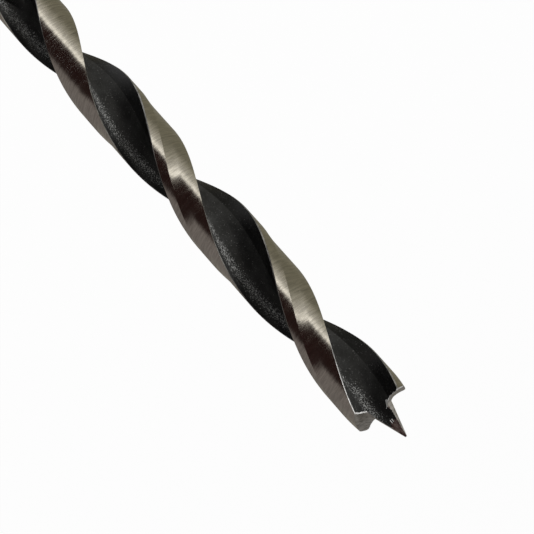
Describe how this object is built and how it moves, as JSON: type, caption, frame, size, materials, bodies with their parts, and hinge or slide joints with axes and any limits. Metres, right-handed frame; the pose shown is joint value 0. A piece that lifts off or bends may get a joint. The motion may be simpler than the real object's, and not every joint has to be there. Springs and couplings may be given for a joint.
{
  "type": "brad point drill bit",
  "caption": "Brad point drill bit for wood, with a plain round shank, helical flutes, a centre point and outer spurs.",
  "frame": {"origin": "centre of the flat end of the shank", "axes": "+Z along the axis of the bit, towards its point; the lips lie along X at the level of the spurs"},
  "size_m": [0.004, 0.004, 0.075],
  "materials": {
    "steel": "ground lands and end, black flutes"
  },
  "bodies": {
    "root": {"drill_bit": "steel"}
  },
  "joints": []
}
